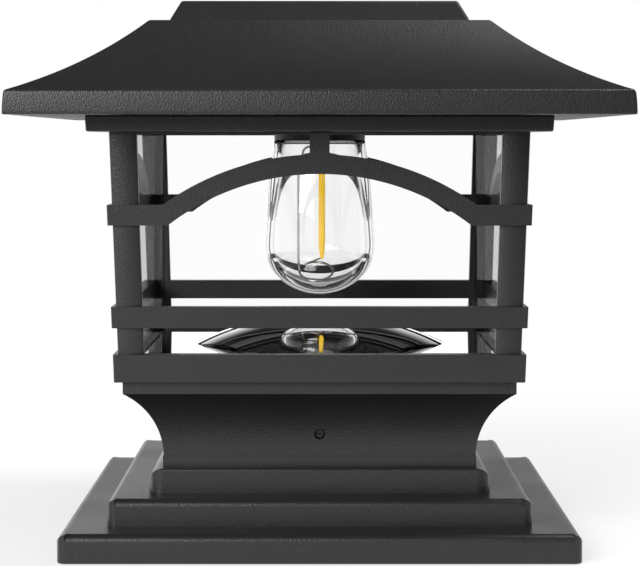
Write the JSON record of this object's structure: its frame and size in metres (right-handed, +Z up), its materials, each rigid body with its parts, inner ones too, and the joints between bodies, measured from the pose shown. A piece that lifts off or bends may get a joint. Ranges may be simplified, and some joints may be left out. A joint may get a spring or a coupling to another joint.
{
  "type": "deck post cap light",
  "caption": "Square solar lantern cap for a deck post: stepped skirt, coved neck, open window frame with arched bars, hanging bulb and a hollow-curved roof.",
  "frame": {"origin": "centre of the skirt on its bottom face, where it rests on a post or a table", "axes": "+Z up, the front faces -Y, X runs left to right seen from the front"},
  "size_m": [0.172, 0.172, 0.1588],
  "materials": {
    "black_shell": "black, satin, fine pebble grain",
    "black_inner": "black, matt",
    "dark_screw": "blackened steel",
    "steel": "zinc plated",
    "soft_seal": "matt foam rubber",
    "clear_shade": "clear moulded plastic",
    "mirror_plate": "mirror, vacuum metallised",
    "green_board": "solder mask",
    "solar_cell": "dark blue cell with fine silver lines",
    "panel_glass": "clear sheet",
    "red_lead": "wire sheath",
    "black_lead": "wire sheath",
    "battery_sleeve": "plain green shrink sleeve",
    "pale_plug": "off-white",
    "bulb_glass": "clear, thick walled",
    "filament": "yellow phosphor coating",
    "wire": "bright wire",
    "soft_button": "matt"
  },
  "bodies": {
    "lantern": {"post_base": "black_shell", "neck": "black_shell", "lock_screws": "dark_screw", "frame_front": "black_shell", "frame_right": "black_shell", "frame_back": "black_shell", "frame_left": "black_shell", "floor_tray": "black_inner", "tray_screws": "steel", "shade_seal": "soft_seal", "clear_shade": "clear_shade", "reflector": "mirror_plate", "top_collar": "black_shell", "collar_screws": "steel"},
    "head": {"roof_shell": "black_shell", "head_deck": "black_inner", "deck_screws": "steel", "head_seal": "soft_seal", "panel_frame": "black_shell", "panel_board": "green_board", "solar_cells": "solar_cell", "panel_seal": "soft_seal", "panel_glass": "panel_glass", "panel_leads": "red_lead", "battery_holder": "black_inner", "battery": "battery_sleeve", "battery_plates": "steel", "battery_spring": "steel", "battery_leads": "red_lead", "door_pin": "steel", "circuit_board": "green_board", "board_screws": "steel", "lamp_leads": "black_lead", "bulb_collar": "black_shell", "bulb_base": "pale_plug", "bulb_glass": "bulb_glass", "filament": "filament", "filament_wires": "wire", "switch_housing": "black_inner", "switch_spring": "steel"},
    "door": {"battery_door": "black_inner"},
    "button": {"switch_button": "soft_button"}
  },
  "joints": [
    {"name": "head_lift", "type": "slide", "parent": "lantern", "child": "head", "axis": [0, 0, 1], "range_m": [0, 0.08]},
    {"name": "door_hinge", "type": "hinge", "parent": "head", "child": "door", "pos_m": [0, 0.0414, 0.12675], "axis": [1, 0, 0], "range_deg": [0, 90]},
    {"name": "switch_press", "type": "slide", "parent": "head", "child": "button", "axis": [0, 0, 1], "range_m": [0, 0.0012], "stiffness_N_per_m": 400, "springref_m": -0.001, "deforming": ["switch_spring"]}
  ]
}
